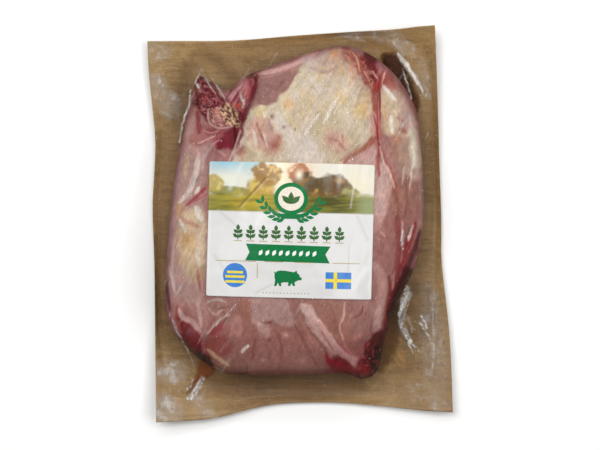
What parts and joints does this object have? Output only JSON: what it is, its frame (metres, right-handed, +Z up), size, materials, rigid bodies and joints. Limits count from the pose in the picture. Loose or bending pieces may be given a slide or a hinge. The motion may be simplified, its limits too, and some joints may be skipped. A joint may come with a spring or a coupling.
{
  "type": "vacuum-packed ham joint",
  "caption": "Boneless raw ham joint sealed under clear vacuum film on a brown paper-look base film, with a printed label laid over the crown of the meat.",
  "frame": {"origin": "middle of the pack's flat underside, at the middle of its width and length", "axes": "+Z up through the ham, +Y along the pack towards the top of the label, +X to the right of the label"},
  "size_m": [0.204, 0.265, 0.0633],
  "materials": {
    "meat": "moist raw pork with cream fat, satin under film",
    "clear_film": "clear glossy vacuum film",
    "base_film": "brown paper-look film, satin",
    "label": "coated white label with a printed picture band",
    "meat_juice": "dark red clear liquid"
  },
  "bodies": {
    "root": {"ham_joint": "meat", "clear_top_film": "clear_film", "brown_base_film": "base_film", "front_label": "label", "juice_upper_right": "meat_juice", "juice_lower_right": "meat_juice", "juice_lower_left": "meat_juice"}
  },
  "joints": []
}
